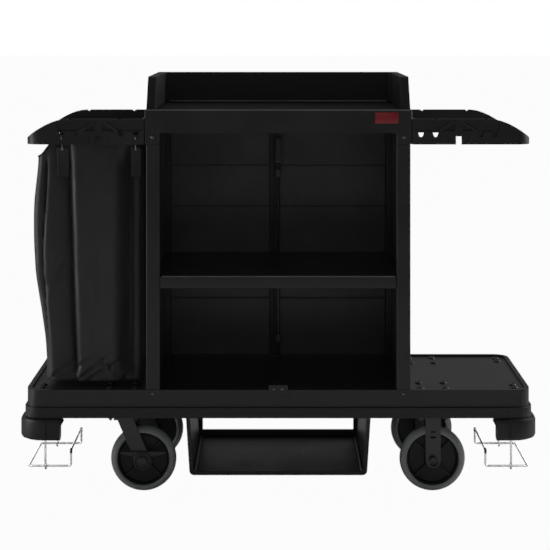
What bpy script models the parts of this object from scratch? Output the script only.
"""Housekeeping cart.

A moulded deck on four casters carries four posts, a mid shelf, a counter inside a low hood,
a bag holder at one end and a matching empty holder at the other, two rear doors with a drop
bolt, a tray below the deck and a wire cradle under each end.

Frame: the origin is on the floor under the middle of the cart, X runs along its length with the
bag at -X, the open front faces -Y, and Z is up. Lengths are in metres.
"""

import math

import bmesh
import bpy
from mathutils import Matrix

# ------------------------------------------------------------------ driving dimensions
GAP = 0.0003                    # air left between two pieces that touch

WHEEL_RADIUS = 0.100
DECK_BOTTOM = 0.240
DECK_TOP = 0.324
DECK_HALF = (0.759, 0.260)      # half length, half width
DECK_CORNER = 0.045
DECK_FLOOR = 0.318              # floor of the shallow trays in the deck
DECK_SKIN = 0.006
DECK_RIM = 0.014                # width of the raised edge round the deck's trays
DECK_RIB = 0.004                # half thickness of the two ribs along the deck's middle lines
RAIL_TOP = 0.272
RAIL_STAND_OUT = 0.007

BUMPER_HALF = (0.780, 0.282)
BUMPER_BOTTOM = 0.174
BUMPER_CORNER = 0.075
BUMPER_DEPTH = 0.045
BUMPER_INNER_END = 0.642
BUMPER_SIDE_END = 0.150
BUMPER_ROUNDING = 0.013
BUMPER_GROOVE = (0.0022, 0.004)  # half width, depth
BUMPER_GROOVE_X = 0.693

POST_INNER = 0.3546             # |X| of a post's two side faces
POST_OUTER = 0.3970
POST_DEPTH = 0.040
POST_WALL = 0.003
PANEL_INNER = 0.372
PANEL_OUTER = 0.380

SHELF_TOP = 0.665
SHELF_HEIGHT = 0.037
SHELF_SKIN = 0.005
SHELF_REAR = 0.2457

FRAME_OUTER = 0.4020            # |X| of the top frame's ends: they overhang the posts
FRAME_FOOT = 1.061              # underside of the top frame's corner blocks
FRAME_BOTTOM = 1.094
FRAME_TOP = 1.164
FRAME_WALL = 0.014
COUNTER_TOP = 1.162
COUNTER_THICKNESS = 0.008

HOOD_TOP = 1.262
HOOD_WALL = 0.027
HOOD_SKIN = 0.005
HOOD_SLOPE_RUN = 0.072          # how far the side walls' front edges lean back

HOLDER_BOTTOM = 1.060
HOLDER_TOP = 1.137
HOLDER_END = 0.760
HOLDER_WALL = 0.010
HOLDER_INNER_WALL = 0.008
HOLDER_CORNER = 0.045
HOLDER_DROP_START = 0.637       # |X| where the top edge starts to fall towards the end
HOLDER_DROP = 0.062
LEDGE = 1.100                   # lower edge of the recesses in the holder's long walls
SLOT_BASE = 1.0885              # where the straight sides of a hook slot meet its round foot
SLOT_FOOT_RADIUS = 0.0065

SWIVEL_X = 0.470                # |X| of the swivel axes
TRAIL = 0.060                   # how far a swivel caster's axle lies behind its king pin
FIXED_X = 0.469                 # |X| of the rigid casters' axles
CASTER_Y = 0.182
FORK_HALF_GAP = 0.029
FORK_LEG = 0.004
LEG_HALF_WIDTH = 0.023
AXLE_RADIUS = 0.006
BORE_RADIUS = 0.0064
HUB_RADIUS = 0.0790
TYRE_INNER_RADIUS = 0.0797
PLATE_THICKNESS = 0.005
ROCKER_THICKNESS = 0.007
ROCKER_BOSS = 0.0285
ROCKER_HALF_LENGTH = 0.067
ROCKER_WING = (0.0215, 0.0126)  # height of a wing's underside above the axle: at its tip, its root

DOOR_FACES = (0.2603, 0.2703)   # Y of a door's inner and outer faces: it lies over the posts
DOOR_BOTTOM = 0.290
DOOR_TOP = 1.125
DOOR_EDGE = 0.3965
DOORS_MEET = -0.020
DOOR_STOP_HALF = 0.0085
HINGE_X = 0.4015
HINGE_Y = 0.2700
HINGE_SPAN = (0.345, 1.045)
HINGE_SEGMENTS = 5
KNUCKLE_RADIUS = 0.0048
LEAF_THICKNESS = 0.0025
LEAF_REACH = 0.009              # how far an eye's tail runs over its leaf
PIN_RADIUS = 0.0020

ROD_Y = 0.236
ROD_RADIUS = 0.005
ROD_FOOT = 0.329                # raised: the rod clears the deck so that the doors swing
ROD_TOP = 1.046

TRAY_TOP = DECK_BOTTOM - GAP
TRAY_BOTTOM = 0.054
TRAY_HALF_TOP = 0.281
TRAY_HALF_BOTTOM = 0.270
TRAY_HALF_DEPTH = 0.212
TRAY_WALL = 0.012

WIRE_RADIUS = 0.0028
CRADLE_INNER = 0.638
CRADLE_OUTER = 0.768
CRADLE_HALF_DEPTH = 0.132
CRADLE_LOW = 0.061
CRADLE_HIGH = 0.110
HANGER_X = 0.716

SIDES = (("left", -1), ("right", 1))
ENDS = (("front", -1), ("rear", 1))


# ------------------------------------------------------------------ scene helpers
def clear_scene():
    for obj in list(bpy.data.objects):
        bpy.data.objects.remove(obj, do_unlink=True)


def new_collection(name):
    made = bpy.data.collections.new(name)
    bpy.context.scene.collection.children.link(made)
    return made


def new_material(name, colour, roughness, metallic=0.0):
    made = bpy.data.materials.new(name)
    made.use_nodes = True
    shader = made.node_tree.nodes["Principled BSDF"]
    shader.inputs["Base Color"].default_value = (*colour, 1.0)
    shader.inputs["Roughness"].default_value = roughness
    shader.inputs["Metallic"].default_value = metallic
    return made


def add_object(name, mesh, material, location=(0, 0, 0), rotation=(0, 0, 0)):
    """A part with a material, or a cutter when the material is None."""
    obj = bpy.data.objects.new(name, mesh)
    obj.location = location
    obj.rotation_euler = rotation
    if material:
        obj.data.materials.append(material)
        PARTS.objects.link(obj)
    else:
        obj.hide_render = True
        obj.display_type = "WIRE"
        CUTTERS.objects.link(obj)
    return obj


# ------------------------------------------------------------------ shape helpers
def blocks(name, boxes, material=None):
    """One object made of separate boxes, each given by its low and high corners."""
    mesh = bmesh.new()
    for low, high in boxes:
        size = [b - a for a, b in zip(low, high)]
        middle = [(a + b) / 2 for a, b in zip(low, high)]
        place = Matrix.Translation(middle) @ Matrix.Diagonal((*size, 1.0))
        bmesh.ops.create_cube(mesh, size=1.0, matrix=place)
    data = bpy.data.meshes.new(name)
    mesh.to_mesh(data)
    mesh.free()
    return add_object(name, data, material)


def cylinder(name, radius, ends, place, sides, material=None):
    """A cylinder along Y between two Y values, its axis through place = (x, z)."""
    mesh = bmesh.new()
    turn = Matrix.Rotation(math.radians(90), 4, "X")
    bmesh.ops.create_cone(
        mesh, cap_ends=True, segments=sides, radius1=radius, radius2=radius,
        depth=ends[1] - ends[0], matrix=turn,
    )
    data = bpy.data.meshes.new(name)
    mesh.to_mesh(data)
    mesh.free()
    middle = (place[0], (ends[0] + ends[1]) / 2, place[1])
    return add_object(name, data, material, middle)


def upright(name, radius, ends, place, sides, material=None):
    """A cylinder along Z between two Z values, its axis through place = (x, y)."""
    mesh = bmesh.new()
    bmesh.ops.create_cone(
        mesh, cap_ends=True, segments=sides, radius1=radius, radius2=radius,
        depth=ends[1] - ends[0],
    )
    data = bpy.data.meshes.new(name)
    mesh.to_mesh(data)
    mesh.free()
    middle = (*place, (ends[0] + ends[1]) / 2)
    return add_object(name, data, material, middle)


def to_mesh_object(name, curve_object, material):
    """Replaces a curve object by a welded mesh in the same place."""
    bpy.context.view_layer.update()
    solid = curve_object.evaluated_get(bpy.context.evaluated_depsgraph_get())
    data = bpy.data.meshes.new_from_object(solid)
    data.name = name
    data.materials.clear()
    mesh = bmesh.new()
    mesh.from_mesh(data)
    bmesh.ops.remove_doubles(mesh, verts=mesh.verts, dist=1e-6)
    bmesh.ops.recalc_face_normals(mesh, faces=mesh.faces)
    mesh.to_mesh(data)
    mesh.free()
    location = curve_object.location.copy()
    rotation = curve_object.rotation_euler.copy()
    bpy.data.objects.remove(curve_object, do_unlink=True)
    return add_object(name, data, material, location, rotation)


def outline(name, plane, splines, ends, material=None):
    """A flat outline, with any holes as further splines, extruded between two values.

    The plane is XY, XZ or YZ, and the extrusion runs along the remaining axis.
    """
    curve = bpy.data.curves.new(name, "CURVE")
    curve.dimensions = "2D"
    curve.fill_mode = "BOTH"
    curve.extrude = (ends[1] - ends[0]) / 2
    for points in splines:
        spline = curve.splines.new("POLY")
        spline.points.add(len(points) - 1)
        spline.use_cyclic_u = True
        for point, (u, v) in zip(spline.points, points):
            point.co = (u, v, 0, 1)
    middle = (ends[0] + ends[1]) / 2
    quarter = math.radians(90)
    place = {
        "XY": ((0, 0, middle), (0, 0, 0)),
        "XZ": ((0, middle, 0), (quarter, 0, 0)),
        "YZ": ((middle, 0, 0), (quarter, 0, quarter)),
    }[plane]
    guide = bpy.data.objects.new(name + "_curve", curve)
    guide.location, guide.rotation_euler = place
    CUTTERS.objects.link(guide)
    return to_mesh_object(name, guide, material)


def merge_flat_faces(obj):
    """Joins the triangles of each flat face, so that a bevel leaves it clean."""
    mesh = bmesh.new()
    mesh.from_mesh(obj.data)
    bmesh.ops.dissolve_limit(
        mesh, angle_limit=math.radians(1), verts=mesh.verts, edges=mesh.edges)
    mesh.to_mesh(obj.data)
    mesh.free()


def wire(name, points, radius, material, closed=False):
    """A round wire along straight runs between points."""
    curve = bpy.data.curves.new(name, "CURVE")
    curve.dimensions = "3D"
    curve.bevel_depth = radius
    curve.bevel_resolution = 2
    curve.use_fill_caps = True
    spline = curve.splines.new("POLY")
    spline.points.add(len(points) - 1)
    spline.use_cyclic_u = closed
    for point, place in zip(spline.points, points):
        point.co = (*place, 1)
    guide = bpy.data.objects.new(name + "_curve", curve)
    CUTTERS.objects.link(guide)
    return to_mesh_object(name, guide, material)


def turned(name, profile, steps, place, material, closed=True):
    """A wheel-like body: a (radius, y) profile turned about the line along Y through place."""
    data = bpy.data.meshes.new(name)
    mesh = bmesh.new()
    ring = [mesh.verts.new((radius, 0, height)) for radius, height in profile]
    for first, second in zip(ring, ring[1:]):
        mesh.edges.new((first, second))
    if closed:
        mesh.edges.new((ring[-1], ring[0]))
    mesh.to_mesh(data)
    mesh.free()
    obj = add_object(name, data, material, place, (math.radians(-90), 0, 0))
    screw = obj.modifiers.new("turn", "SCREW")
    screw.axis = "Z"
    screw.steps = steps
    screw.render_steps = steps
    screw.use_merge_vertices = True
    screw.merge_threshold = 1e-5
    return obj


def combine(target, operation, *others):
    for other in others:
        step = target.modifiers.new(operation.lower(), "BOOLEAN")
        step.operation = operation
        step.object = other
        step.solver = "EXACT"


def cut(target, *cutters):
    combine(target, "DIFFERENCE", *cutters)


def join(target, *others):
    combine(target, "UNION", *others)


def rounded_rectangle(low, high, radii, steps=4):
    """Corner points of a rectangle; radii go round from the low corner, anticlockwise."""
    corners = (
        (low[0], low[1], 1, 1, 180),
        (high[0], low[1], -1, 1, 270),
        (high[0], high[1], -1, -1, 0),
        (low[0], high[1], 1, -1, 90),
    )
    points = []
    for (x, y, inward_x, inward_y, start), radius in zip(corners, radii):
        if radius <= 0:
            points.append((x, y))
            continue
        centre = (x + inward_x * radius, y + inward_y * radius)
        points += arc(centre, radius, start, start + 90, steps)
    return points


def arc(centre, radius, start, end, steps):
    """Points on an arc, angles in degrees, both ends included."""
    angles = [math.radians(start + (end - start) * i / steps) for i in range(steps + 1)]
    return [(centre[0] + radius * math.cos(a), centre[1] + radius * math.sin(a)) for a in angles]


def flipped(points, sign_u, sign_v=1):
    return [(u * sign_u, v * sign_v) for u, v in points]


def ordered(first, second):
    return (min(first, second), max(first, second))


def bend(points, radius, steps=2, closed=False):
    """The path with each corner replaced by a short quadratic bend."""
    made = []
    count = len(points)
    for i, corner in enumerate(points):
        if not closed and i in (0, count - 1):
            made.append(corner)
            continue
        before, after = points[i - 1], points[(i + 1) % count]
        start = towards(corner, before, radius)
        end = towards(corner, after, radius)
        for step in range(steps + 1):
            t = step / steps
            made.append(tuple(
                (1 - t) ** 2 * a + 2 * t * (1 - t) * b + t ** 2 * c
                for a, b, c in zip(start, corner, end)
            ))
    return made


def towards(point, target, distance):
    length = math.dist(point, target)
    return tuple(a + (b - a) * distance / length for a, b in zip(point, target))


# ------------------------------------------------------------------ deck and bumpers
def build_deck():
    low = (-DECK_HALF[0], -DECK_HALF[1])
    edge = rounded_rectangle(low, DECK_HALF, [DECK_CORNER] * 4)
    deck = outline("deck", "XY", [edge], (DECK_BOTTOM, DECK_TOP), BLACK)
    inner_y = DECK_HALF[1] - DECK_RIM
    beside_post = POST_OUTER + 0.009
    between_posts = POST_INNER - 0.0096
    trays = (
        (-DECK_HALF[0] + DECK_RIM, -beside_post),
        (-between_posts, between_posts),
        (beside_post, DECK_HALF[0] - DECK_RIM),
    )
    for number, (low_x, high_x) in enumerate(trays):
        wide = DECK_CORNER - DECK_RIM
        left = wide if number == 0 else 0.006
        right = wide if number == 2 else 0.006
        hollow = rounded_rectangle(
            (low_x, -inner_y), (high_x, inner_y), (left, right, right, left), 3)
        cut(deck, outline(f"deck_tray_{number}", "XY", [hollow], (DECK_FLOOR, DECK_TOP + 0.01)))
    cut(deck, blocks("deck_pockets", deck_pockets()))
    cut(deck, upright("bolt_hole", 0.0095, (0.300, DECK_TOP), (0, ROD_Y), 16))


def deck_pockets():
    """Hollows cut from below, leaving ribs, and solid pads over the casters.

    Each column of hollows runs between two |X| and out to one |Y|.
    """
    columns = (
        (DECK_RIB, 0.252, 0.252),
        (0.300, 0.390, 0.252),
        (0.400, 0.538, 0.118),
        (0.548, 0.640, 0.236),
        (0.648, 0.735, 0.236),
    )
    made = []
    for side_x in (-1, 1):
        for side_y in (-1, 1):
            for start, end, reach in columns:
                x = ordered(side_x * start, side_x * end)
                y = ordered(side_y * DECK_RIB, side_y * reach)
                made.append((
                    (x[0], y[0], DECK_BOTTOM - 0.01),
                    (x[1], y[1], DECK_FLOOR - DECK_SKIN),
                ))
    return made


def build_rub_rail():
    def ring(offset):
        half = (DECK_HALF[0] + offset, DECK_HALF[1] + offset)
        radius = DECK_CORNER + offset
        return rounded_rectangle((-half[0], -half[1]), half, [radius] * 4)

    outline("rub_rail", "XY", [ring(RAIL_STAND_OUT), ring(GAP)], (DECK_BOTTOM, RAIL_TOP), RUBBER)


def build_bumpers():
    """A thick pad round each corner below the deck, with a wing along the long side."""
    outer_x, outer_y = BUMPER_HALF
    corner = (outer_x - BUMPER_CORNER, outer_y - BUMPER_CORNER)
    inner = (outer_x - BUMPER_DEPTH, outer_y - BUMPER_DEPTH)
    inner_radius = 0.030
    inner_corner = (inner[0] - inner_radius, inner[1] - inner_radius)
    plan = [(BUMPER_INNER_END, inner[1]), (BUMPER_INNER_END, outer_y)]
    plan += arc(corner, BUMPER_CORNER, 90, 0, 5)
    plan += [(outer_x, BUMPER_SIDE_END), (inner[0], BUMPER_SIDE_END)]
    plan += arc(inner_corner, inner_radius, 0, 90, 3)
    top = DECK_BOTTOM - GAP
    wing_face = BUMPER_INNER_END + 0.012
    under_flare = [
        (0.600, BUMPER_BOTTOM - 0.01), (wing_face, BUMPER_BOTTOM - 0.01),
        (wing_face, top - 0.028), (BUMPER_INNER_END - 0.001, top - 0.004), (0.600, top - 0.004),
    ]
    for side, sign_x in SIDES:
        for end, sign_y in ENDS:
            bumper = outline(
                f"bumper_{end}_{side}", "XY", [flipped(plan, sign_x, sign_y)],
                (BUMPER_BOTTOM, top), RUBBER)
            merge_flat_faces(bumper)
            rounding = bumper.modifiers.new("rounding", "BEVEL")
            rounding.width = BUMPER_ROUNDING
            rounding.segments = 2
            rounding.limit_method = "ANGLE"
            rounding.angle_limit = math.radians(40)
            name = f"{end}_{side}"
            flare_y = ordered(sign_y * 0.20, sign_y * 0.30)
            cut(bumper, outline(
                f"flare_cut_{name}", "XZ", [flipped(under_flare, sign_x)], flare_y))
            half, depth = BUMPER_GROOVE
            groove_along = ordered(
                sign_x * (BUMPER_GROOVE_X - half), sign_x * (BUMPER_GROOVE_X + half))
            groove_in = ordered(sign_y * (outer_y - depth), sign_y * (outer_y + 0.01))
            cut(bumper, blocks(f"groove_cut_{name}", [(
                (groove_along[0], groove_in[0], BUMPER_BOTTOM + 0.012),
                (groove_along[1], groove_in[1], DECK_BOTTOM + 0.01),
            )]))


# ------------------------------------------------------------------ cabinet
def build_posts():
    for side, sign_x in SIDES:
        for end, sign_y in ENDS:
            x = ordered(sign_x * POST_INNER, sign_x * POST_OUTER)
            y = ordered(sign_y * DECK_HALF[1], sign_y * (DECK_HALF[1] - POST_DEPTH))
            outer = rounded_rectangle((x[0], y[0]), (x[1], y[1]), [0.004] * 4, 2)
            inner = rounded_rectangle(
                (x[0] + POST_WALL, y[0] + POST_WALL), (x[1] - POST_WALL, y[1] - POST_WALL),
                [0] * 4)
            outline(f"post_{end}_{side}", "XY", [outer, inner],
                    (DECK_TOP + GAP, FRAME_FOOT - GAP), BLACK)


def build_side_panels():
    reach = DECK_HALF[1] - POST_DEPTH - GAP
    for side, sign_x in SIDES:
        x = ordered(sign_x * PANEL_INNER, sign_x * PANEL_OUTER)
        blocks(f"side_panel_{side}", [(
            (x[0], -reach, DECK_TOP + GAP), (x[1], reach, FRAME_BOTTOM - GAP),
        )], BLACK)


def build_mid_shelf():
    """A shelf with a turned-down edge, notched round the posts and the drop bolt."""
    wide = PANEL_INNER - GAP
    narrow = POST_INNER - GAP
    step = DECK_HALF[1] - POST_DEPTH - GAP
    front = -DECK_HALF[1]
    low, high = SHELF_TOP - SHELF_HEIGHT, SHELF_TOP
    notch_half, notch_depth = 0.011, 0.227
    shelf = blocks("mid_shelf", [((-wide, front, low), (wide, SHELF_REAR, high))], BLACK)
    notches = [((-notch_half, notch_depth, low - 0.01), (notch_half, SHELF_REAR + 0.01, high + 0.01))]
    for _, sign_x in SIDES:
        for _, sign_y in ENDS:
            x = ordered(sign_x * narrow, sign_x * (wide + 0.01))
            y = ordered(sign_y * step, sign_y * (DECK_HALF[1] + 0.01))
            notches.append(((x[0], y[0], low - 0.01), (x[1], y[1], high + 0.01)))
    cut(shelf, blocks("shelf_notches", notches))
    bays = 4
    rim = 0.006
    reach = (narrow - rim) * 2 / bays
    hollows = []
    for bay in range(bays):
        start = -narrow + rim + bay * reach
        hollows.append((
            (start + rim / 2, front + rim, low - 0.01),
            (start + reach - rim / 2, notch_depth - rim, high - SHELF_SKIN),
        ))
    cut(shelf, blocks("shelf_hollows", hollows))


def build_top_frame():
    """A four-sided fascia with a block at each corner that stands on a post."""
    half = (FRAME_OUTER, DECK_HALF[1])
    opening = (POST_OUTER - FRAME_WALL, DECK_HALF[1] - FRAME_WALL)
    outer = rounded_rectangle((-half[0], -half[1]), half, [0.004] * 4, 2)
    inner = rounded_rectangle((-opening[0], -opening[1]), opening, [0] * 4)
    frame = outline("top_frame", "XY", [outer, inner], (FRAME_BOTTOM, FRAME_TOP), BLACK)
    shoulder = COUNTER_TOP - COUNTER_THICKNESS - GAP
    for side, sign_x in SIDES:
        for end, sign_y in ENDS:
            x = ordered(sign_x * POST_INNER, sign_x * half[0])
            y = ordered(sign_y * (half[1] - POST_DEPTH), sign_y * half[1])
            join(frame, outline(
                f"corner_block_{end}_{side}", "XY",
                [rounded_rectangle((x[0], y[0]), (x[1], y[1]), [0.004] * 4, 2)],
                (FRAME_FOOT, shoulder)))


def build_counter():
    reach = (POST_OUTER - FRAME_WALL - GAP, DECK_HALF[1] - FRAME_WALL - GAP)
    blocks("counter_tray", [(
        (-reach[0], -reach[1], COUNTER_TOP - COUNTER_THICKNESS),
        (reach[0], reach[1], COUNTER_TOP),
    )], BLACK)


def build_hood():
    """A low wall round the back and both sides of the counter, open at the front."""
    base = FRAME_TOP + GAP
    front, rear = -DECK_HALF[1], DECK_HALF[1]
    side_profile = [(front, base), (rear, base), (rear, HOOD_TOP), (front + HOOD_SLOPE_RUN, HOOD_TOP)]
    hood = outline("hood", "YZ", [side_profile], (-POST_OUTER, POST_OUTER), BLACK)
    inner = POST_OUTER - HOOD_WALL
    cut(hood, blocks("hood_inside", [(
        (-inner, front - 0.01, base - 0.01), (inner, rear - HOOD_WALL, HOOD_TOP + 0.01),
    )]))
    start, end = inner + HOOD_SKIN, POST_OUTER - HOOD_SKIN
    channel_front = front + HOOD_SLOPE_RUN + HOOD_SKIN
    ceiling = HOOD_TOP - 2 * HOOD_SKIN
    channel = [
        (-end, channel_front), (-start, channel_front),
        (-start, rear - HOOD_WALL + HOOD_SKIN), (start, rear - HOOD_WALL + HOOD_SKIN),
        (start, channel_front), (end, channel_front),
        (end, rear - HOOD_SKIN), (-end, rear - HOOD_SKIN),
    ]
    cut(hood, outline("hood_channel", "XY", [channel], (base - 0.01, ceiling)))


# ------------------------------------------------------------------ end holders
def holder_top_edge():
    """The top edge in (|x|, z), from the outer end inwards, with two small tool notches."""
    steps = 8
    points = []
    for i in range(steps):
        t = 1 - i / steps
        x = HOLDER_DROP_START + (HOLDER_END + 0.004 - HOLDER_DROP_START) * t
        points.append((x, HOLDER_TOP - HOLDER_DROP * t ** 1.75))
    points += notch(0.627, HOLDER_TOP)
    points += notch(0.478, HOLDER_TOP)
    return points


def notch(x, top, half_width=0.006, depth=0.005):
    return [(x + half_width, top), (x, top - depth), (x - half_width, top)]


def build_holders():
    """A ring at each end: a bag hangs in the left one, tools and a second bag in the right."""
    inner_end = FRAME_OUTER + GAP
    half_width = DECK_HALF[1]
    profile = holder_top_edge()
    profile += [(inner_end - 0.01, HOLDER_TOP), (inner_end - 0.01, HOLDER_BOTTOM),
                (HOLDER_END + 0.004, HOLDER_BOTTOM)]
    slot_places = (0.4287, 0.4725, 0.610, 0.650)
    slot_half = 0.0095
    for side, sign in SIDES:
        outer = rounded_rectangle(
            (inner_end, -half_width), (HOLDER_END, half_width),
            (0.003, HOLDER_CORNER, HOLDER_CORNER, 0.003), 5)
        reach = half_width - HOLDER_WALL
        inner = rounded_rectangle(
            (inner_end + HOLDER_INNER_WALL, -reach), (HOLDER_END - HOLDER_WALL, reach),
            (0, HOLDER_CORNER - HOLDER_WALL, HOLDER_CORNER - HOLDER_WALL, 0), 5)
        name = f"holder_{side}"
        holder = outline(name, "XY", [flipped(outer, sign), flipped(inner, sign)],
                         (HOLDER_BOTTOM, HOLDER_TOP + 0.01), BLACK)
        keep = outline(f"{name}_profile", "XZ", [flipped(profile, sign)], (-0.30, 0.30))
        combine(holder, "INTERSECT", keep)
        for number, x in enumerate(slot_places):
            slot = arc((x, SLOT_BASE), SLOT_FOOT_RADIUS, 180, 360, 4)
            slot += [(x + slot_half, LEDGE - 0.001), (x + slot_half, LEDGE + 0.005),
                     (x - slot_half, LEDGE + 0.005), (x - slot_half, LEDGE - 0.001)]
            through = number < 2 or side == "left"
            cut_both_walls(holder, f"{name}_slot_{number}", flipped(slot, sign),
                           2 * HOLDER_WALL if through else 0.7 * HOLDER_WALL)
        middle = ordered(sign * 0.5335, sign * 0.5505)
        cut(holder, blocks(f"{name}_gate", [(
            (middle[0], -0.30, HOLDER_BOTTOM - 0.01), (middle[1], 0.30, 1.0845),
        )]))
        cut_holder_relief(holder, name, sign)


def cut_both_walls(holder, name, shape, depth):
    """Sinks a shape in (x, z) into the outer faces of a holder's two long walls."""
    face = DECK_HALF[1]
    for end, sign_y in ENDS:
        reach = ordered(sign_y * (face - depth), sign_y * (face + 0.01))
        cut(holder, outline(f"{name}_{end}", "XZ", [shape], reach))


def cut_holder_relief(holder, name, sign):
    """Recessed fields beside an A-shaped middle, deeper triangles in it and two fine slits."""
    rail = 1.128
    reliefs = (
        (0.005, [(0.409, LEDGE), (0.481, LEDGE), (0.522, rail), (0.409, rail)]),
        (0.005, [(0.596, LEDGE), (0.664, LEDGE), (0.664, 1.1235), (0.625, rail), (0.547, rail)]),
        (0.007, [(0.494, LEDGE + 0.001), (0.529, LEDGE + 0.001), (0.529, 1.122)]),
        (0.007, [(0.553, LEDGE + 0.001), (0.583, LEDGE + 0.001), (0.553, 1.122)]),
        (0.003, [(0.509, 1.066), (0.511, 1.066), (0.511, 1.086), (0.509, 1.086)]),
        (0.003, [(0.569, 1.066), (0.571, 1.066), (0.571, 1.086), (0.569, 1.086)]),
    )
    for number, (depth, shape) in enumerate(reliefs):
        cut_both_walls(holder, f"{name}_relief_{number}", flipped(shape, sign), depth)


def build_bag():
    """A hanging sack, open at the top, plain here: its walls are one thickness of cloth wide."""
    outer = [
        (-0.413, 1.098), (-0.655, 1.098), (-0.739, 1.022), (-0.741, 0.860), (-0.736, 0.600),
        (-0.724, 0.450), (-0.706, 0.350), (-0.696, 0.338), (-0.424, 0.338), (-0.416, 0.348),
    ]
    inner = [
        (-0.419, 1.150), (-0.733, 1.150), (-0.735, 0.860), (-0.730, 0.600),
        (-0.718, 0.450), (-0.700, 0.352), (-0.692, 0.344), (-0.427, 0.344), (-0.422, 0.352),
    ]
    half_width = 0.228
    bag = outline("laundry_bag", "XZ", [outer], (-half_width, half_width), CLOTH)
    skin = 0.006
    cut(bag, outline("bag_inside", "XZ", [inner], (skin - half_width, half_width - skin)))


def build_bag_hooks():
    """S hooks that sit in the holder's slots and take the bag's loops inside the wall."""
    radius = 0.0018
    wall = (DECK_HALF[1] - HOLDER_WALL, DECK_HALF[1])
    seat = SLOT_BASE - SLOT_FOOT_RADIUS + radius + 3 * GAP
    for end, sign in ENDS:
        for place, x in (("outer", -0.650), ("inner", -0.4287)):
            path = [
                (wall[1] + 0.0035, seat - 0.009), (wall[1] + 0.0035, seat),
                (wall[0] - 0.0028, seat), (wall[0] - 0.0028, 1.047),
                (wall[0] - 0.0100, 1.047), (wall[0] - 0.0100, 1.054),
            ]
            points = bend([(x, sign * y, z) for y, z in path], 0.0025)
            wire(f"bag_hook_{end}_{place}", points, radius, ZINC)


# ------------------------------------------------------------------ rear doors
def build_doors():
    """Two doors that lie over the back of the posts, deck and top frame."""
    for side, sign in SIDES:
        x = ordered(DOORS_MEET + sign * 0.0005, sign * DOOR_EDGE)
        door = blocks(f"door_{side}", [(
            (x[0], DOOR_FACES[0], DOOR_BOTTOM), (x[1], DOOR_FACES[1], DOOR_TOP),
        )], BLACK)
        grooves = []
        for height in (0.511, 0.815, 0.952):
            grooves.append((
                (x[0] - 0.01, DOOR_FACES[0] - 0.01, height - 0.002),
                (x[1] + 0.01, DOOR_FACES[0] + 0.002, height + 0.002),
            ))
        cut(door, blocks(f"door_grooves_{side}", grooves))
        if side == "right":
            add_bolt_guides(door)


def add_bolt_guides(door):
    """Two lugs on the door's inner face that the drop bolt slides through."""
    for name, low in (("lower", 0.370), ("upper", 0.915)):
        join(door, blocks(f"guide_{name}", [(
            (-0.008, ROD_Y - 0.008, low), (0.008, DOOR_FACES[0] + 0.001, low + 0.025),
        )]))
        cut(door, upright(f"guide_bore_{name}", ROD_RADIUS + 0.0006,
                          (low - 0.01, low + 0.035), (0, ROD_Y), 14))


def build_door_stop():
    """A rubber strip on the line where the doors meet, from the deck's rim to the top frame."""
    x = (DOORS_MEET - DOOR_STOP_HALF, DOORS_MEET + DOOR_STOP_HALF)
    blocks("door_stop", [(
        (x[0], 0.2500, DECK_TOP + GAP), (x[1], 0.2597, FRAME_BOTTOM - GAP),
    )], RUBBER)


def hinge_eye(tail):
    """A hinge eye joined to its tail, in (x, y) from the hinge line, for the right-hand side.

    The tail is either the door's leaf, which runs inwards over the door's outer face, or the
    post's leaf, which runs forwards over the post's outer face.
    """
    if tail == "door":
        low = DOOR_FACES[1] + GAP - HINGE_Y
        high = low + LEAF_THICKNESS
        start = 180 - math.degrees(math.asin(high / KNUCKLE_RADIUS))
        return [(-LEAF_REACH, high), (-LEAF_REACH, low)] + arc(
            (0, 0), KNUCKLE_RADIUS, start + 20, start + 360, 10)
    near = POST_OUTER + GAP - HINGE_X
    far = near + LEAF_THICKNESS
    start = 180 + math.degrees(math.acos(-far / KNUCKLE_RADIUS))
    return [(near, -LEAF_REACH), (far, -LEAF_REACH)] + arc(
        (0, 0), KNUCKLE_RADIUS, start, start + 340, 10)


def build_hinges():
    """A long hinge per door: eyes on the post's leaf and on the door's leaf take turns."""
    low, high = HINGE_SPAN
    length = (high - low) / HINGE_SEGMENTS
    bore = arc((0, 0), PIN_RADIUS + 0.0004, 0, 330, 11)
    post_face, door_face = POST_OUTER + GAP, DOOR_FACES[1] + GAP
    leaves = (
        ("post", 0, (post_face, post_face + LEAF_THICKNESS), (0.226, HINGE_Y - 0.0055)),
        ("door", 1, (0.362, HINGE_X - 0.0055), (door_face, door_face + LEAF_THICKNESS)),
    )
    for side, sign in SIDES:
        for owner, first, x, y in leaves:
            x = ordered(sign * x[0], sign * x[1])
            name = f"hinge_leaf_{owner}_{side}"
            leaf = blocks(name, [((x[0], y[0], low), (x[1], y[1], high))], ZINC)
            for number in range(first, HINGE_SEGMENTS, 2):
                splines = [
                    [(sign * (HINGE_X + u), HINGE_Y + v) for u, v in spline]
                    for spline in (hinge_eye(owner), bore)
                ]
                ends = (low + number * length + GAP, low + (number + 1) * length - GAP)
                join(leaf, outline(f"{name}_eye_{number}", "XY", splines, ends))
        upright(f"hinge_pin_{side}", PIN_RADIUS, (low - 0.002, high + 0.002),
                (sign * HINGE_X, HINGE_Y), 12, ZINC)


def build_drop_bolt():
    """A rod down the right door's inner face, lowered into the deck to lock both doors."""
    foot = 0.0075
    rod = upright("drop_bolt", ROD_RADIUS, (ROD_FOOT + 0.006, ROD_TOP), (0, ROD_Y), 14, STEEL)
    join(rod, upright("bolt_foot", foot, (ROD_FOOT, ROD_FOOT + 0.012), (0, ROD_Y), 14))
    grip = rounded_rectangle((-0.0085, 0.962), (0.0115, 1.048), [0.0055] * 4, 3)
    join(rod, outline("bolt_grip", "XZ", [grip], (ROD_Y - 0.0095, ROD_Y - 0.0030)))


def build_front_catch():
    """A small plate on the deck's front edge that a cover or strap snaps onto."""
    face = -DECK_HALF[1] - GAP
    plate = rounded_rectangle((-0.029, 0.307), (0.029, 0.340), [0.003] * 4, 2)
    outline("front_catch", "XZ", [plate], (face - 0.005, face), BLACK)


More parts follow.
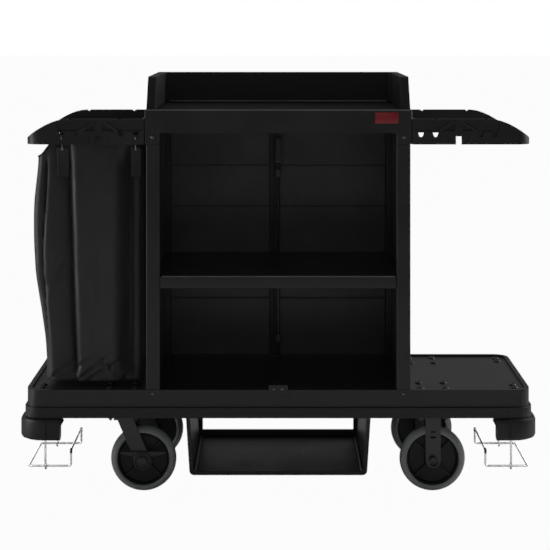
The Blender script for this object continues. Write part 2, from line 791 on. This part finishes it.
# ------------------------------------------------------------------ below the deck
def trough(inset):
    """Outline of the under tray's section in (x, z), moved inwards by inset."""
    top, bottom = TRAY_HALF_TOP - inset, TRAY_HALF_BOTTOM - inset
    radius = 0.014 if inset == 0 else 0.006
    floor = TRAY_BOTTOM + inset
    right = arc((bottom - radius, floor + radius), radius, -90, 0, 3)
    ceiling = TRAY_TOP if inset == 0 else TRAY_TOP + 0.01
    right.append((top, ceiling))
    return flipped(right, -1)[::-1] + right


def build_under_tray():
    """A trough hung below the deck, open at the front, with a low lip across the back."""
    tray = outline("under_tray", "XZ", [trough(0)], (-TRAY_HALF_DEPTH, TRAY_HALF_DEPTH), BLACK)
    rear = TRAY_HALF_DEPTH - TRAY_WALL
    cut(tray, outline("tray_inside", "XZ", [trough(TRAY_WALL)], (-TRAY_HALF_DEPTH - 0.01, rear)))
    window = 0.247
    cut(tray, blocks("tray_window", [(
        (-window, rear - 0.01, 0.087), (window, TRAY_HALF_DEPTH + 0.01, TRAY_TOP + 0.01),
    )]))


def build_cradles():
    """A wire loop under each end with its inner side turned up, hung from a wire hanger."""
    depth = CRADLE_HALF_DEPTH
    for side, sign in SIDES:
        loop = [
            (CRADLE_OUTER, -depth, CRADLE_LOW), (CRADLE_INNER, -depth, CRADLE_LOW),
            (CRADLE_INNER, -depth, CRADLE_HIGH), (CRADLE_INNER, depth, CRADLE_HIGH),
            (CRADLE_INNER, depth, CRADLE_LOW), (CRADLE_OUTER, depth, CRADLE_LOW),
        ]
        path = bend([(sign * x, y, z) for x, y, z in loop], 0.008, closed=True)
        wire(f"wire_cradle_{side}", path, WIRE_RADIUS, CHROME, closed=True)
        leg = depth + 0.0066
        top = DECK_BOTTOM - GAP - WIRE_RADIUS
        hook = [(depth - 0.0066, CRADLE_LOW + 0.005), (depth - 0.0066, CRADLE_LOW - 0.003),
                (depth, CRADLE_LOW - 0.0105), (leg, CRADLE_LOW - 0.003), (leg, top)]
        whole = [(-y, z) for y, z in hook] + hook[::-1]
        path = bend([(sign * HANGER_X, y, z) for y, z in whole], 0.003)
        wire(f"cradle_hanger_{side}", path, WIRE_RADIUS, CHROME)


# ------------------------------------------------------------------ casters
def build_wheel(name, place):
    rim, web, boss = 0.018, 0.007, FORK_HALF_GAP - 0.0007
    side = [(HUB_RADIUS, rim), (0.069, rim), (0.065, web), (0.026, web), (0.021, boss),
            (BORE_RADIUS, boss)]
    lower = [(radius, -height) for radius, height in side]
    turned(f"wheel_hub_{name}", lower + side[::-1], 24, place, DARK)
    tread = [(TYRE_INNER_RADIUS, 0.0215), (0.0930, 0.0225), (WHEEL_RADIUS, 0.0110)]
    lower = [(radius, -height) for radius, height in tread]
    turned(f"tyre_{name}", tread + lower[::-1], 40, place, TYRE)


def build_axle(name, place, outward, outer_face):
    """A bolt through the fork with a hexagon at each end; outward is -1 or 1 along Y."""
    x, y, z = place
    inner_face = FORK_HALF_GAP + FORK_LEG + GAP
    head = 0.0065
    ends = ordered(y - outward * (inner_face + head / 2), y + outward * (outer_face + head / 2))
    axle = cylinder(f"axle_{name}", AXLE_RADIUS, ends, (x, z), 16, STEEL)
    for end, way, face in (("head", outward, outer_face), ("nut", -outward, inner_face)):
        span = ordered(y + way * face, y + way * (face + head))
        join(axle, cylinder(f"axle_{end}_{name}", 0.0107, span, (x, z), 6))


def leg_bottom(centre, lean):
    """The rounded end of a fork leg about the axle, for a leg that leans by lean degrees."""
    return arc(centre, LEG_HALF_WIDTH, 180 + lean, 360 + lean, 6)


def open_fork(fork, name, x, y, roof, axle):
    """Cuts the wheel's slot and the axle's bore."""
    cut(fork, blocks(f"fork_slot_{name}", [(
        (x - 0.15, y - FORK_HALF_GAP, 0.0), (x + 0.15, y + FORK_HALF_GAP, roof),
    )]))
    cut(fork, cylinder(f"fork_bore_{name}", BORE_RADIUS, (y - 0.05, y + 0.05), axle, 16))


def build_swivel_caster(end, sign_y):
    name = f"{end}_left"
    x, y = -SWIVEL_X, sign_y * CASTER_Y
    axle = (x + TRAIL, WHEEL_RADIUS)
    half = FORK_HALF_GAP + FORK_LEG
    plate_top = DECK_BOTTOM - GAP
    plate_bottom = plate_top - PLATE_THICKNESS
    race_bottom = 0.2312
    crown_top, crown_bottom = race_bottom - GAP, 0.2215

    plate = blocks(f"caster_plate_{name}", [(
        (x - 0.0575, y - 0.050, plate_bottom), (x + 0.0575, y + 0.050, plate_top),
    )], STEEL)
    join(plate, upright(f"race_{name}", 0.030, (race_bottom, plate_top - 0.001), (x, y), 20))
    pin_end = crown_bottom - 0.005
    join(plate, upright(f"king_pin_{name}", 0.006, (pin_end, plate_top - 0.001), (x, y), 12))
    join(plate, upright(f"king_head_{name}", 0.010, (pin_end, pin_end + 0.0045), (x, y), 12))

    lean = math.degrees(math.atan2(TRAIL, plate_top - WHEEL_RADIUS))
    across = (LEG_HALF_WIDTH * math.cos(math.radians(lean)),
              LEG_HALF_WIDTH * math.sin(math.radians(lean)))
    slope = math.tan(math.radians(lean))
    left = (axle[0] - across[0], axle[1] - across[1])
    right = (axle[0] + across[0], axle[1] + across[1])
    crown_half = max(right[0] - (crown_top - right[1]) * slope - x, 0.024)
    shoulder_x = left[0] - (crown_bottom - left[1]) * slope
    profile = [(x - crown_half, crown_top), (x - crown_half, crown_bottom),
               (shoulder_x, crown_bottom)]
    profile += leg_bottom(axle, lean) + [(x + crown_half, crown_top)]
    fork = outline(f"swivel_fork_{name}", "XZ", [profile], (y - half, y + half), STEEL)
    open_fork(fork, name, x, y, crown_bottom, axle)
    cut(fork, upright(f"king_bore_{name}", 0.0066, (0.21, 0.24), (x, y), 12))

    place = (axle[0], y, axle[1])
    build_wheel(name, place)
    rocker_face = half + GAP
    build_axle(name, place, sign_y, rocker_face + ROCKER_THICKNESS + GAP)
    build_rocker(name, place, sign_y, rocker_face)


def build_rocker(name, place, outward, face):
    """A foot lever that rocks on the axle: a round boss under a bar with two wings."""
    x, y, z = place
    tip, root = ROCKER_WING
    root_x = math.sqrt(ROCKER_BOSS ** 2 - root ** 2)
    start = math.degrees(math.atan2(root, root_x))
    shape = [(x + ROCKER_HALF_LENGTH, z + tip), (x + ROCKER_HALF_LENGTH, z + ROCKER_BOSS),
             (x - ROCKER_HALF_LENGTH, z + ROCKER_BOSS), (x - ROCKER_HALF_LENGTH, z + tip)]
    shape += arc((x, z), ROCKER_BOSS, 180 - start, 360 + start, 10)
    bore = arc((x, z), BORE_RADIUS, 0, 337.5, 15)
    span = ordered(y + outward * face, y + outward * (face + ROCKER_THICKNESS))
    outline(f"brake_rocker_{name}", "XZ", [shape, bore], span, DARK)


def build_rigid_caster(end, sign_y):
    name = f"{end}_right"
    x, y = FIXED_X, sign_y * CASTER_Y
    axle = (x, WHEEL_RADIUS)
    half = FORK_HALF_GAP + FORK_LEG
    plate_top = DECK_BOTTOM - GAP
    profile = leg_bottom(axle, 0)
    profile += [(x + LEG_HALF_WIDTH, plate_top - 0.001), (x - LEG_HALF_WIDTH, plate_top - 0.001)]
    fork = outline(f"rigid_fork_{name}", "XZ", [profile], (y - half, y + half), STEEL)
    join(fork, blocks(f"fork_plate_{name}", [(
        (x - 0.0575, y - 0.050, plate_top - PLATE_THICKNESS), (x + 0.0575, y + 0.050, plate_top),
    )]))
    open_fork(fork, name, x, y, 0.2295, axle)
    slot_half, slot_rise = 0.0075, 0.0025
    cut(fork, blocks(f"leg_slots_{name}", [
        ((x - slot_half, y - 0.05, height - slot_rise), (x + slot_half, y + 0.05, height + slot_rise))
        for height in (0.170, 0.187)
    ]))
    place = (x, y, WHEEL_RADIUS)
    build_wheel(name, place)
    build_axle(name, place, sign_y, half + GAP)


# ------------------------------------------------------------------ the cart
clear_scene()
PARTS = new_collection("housekeeping_cart")
CUTTERS = new_collection("cutters")

BLACK = new_material("black_plastic", (0.012, 0.013, 0.014), 0.45)
DARK = new_material("dark_plastic", (0.018, 0.018, 0.020), 0.50)
RUBBER = new_material("black_rubber", (0.010, 0.010, 0.011), 0.60)
TYRE = new_material("grey_tyre", (0.32, 0.34, 0.35), 0.55)
CLOTH = new_material("black_nylon", (0.010, 0.010, 0.012), 0.55)
STEEL = new_material("dark_painted_steel", (0.045, 0.047, 0.050), 0.40, 0.6)
ZINC = new_material("zinc_plate", (0.62, 0.63, 0.64), 0.30, 1.0)
CHROME = new_material("chrome_wire", (0.70, 0.71, 0.72), 0.12, 1.0)

build_deck()
build_rub_rail()
build_bumpers()
build_posts()
build_side_panels()
build_mid_shelf()
build_top_frame()
build_counter()
build_hood()
build_holders()
build_bag()
build_bag_hooks()
build_doors()
build_door_stop()
build_hinges()
build_drop_bolt()
build_front_catch()
build_under_tray()
build_cradles()
for which_end, y_sign in ENDS:
    build_swivel_caster(which_end, y_sign)
    build_rigid_caster(which_end, y_sign)
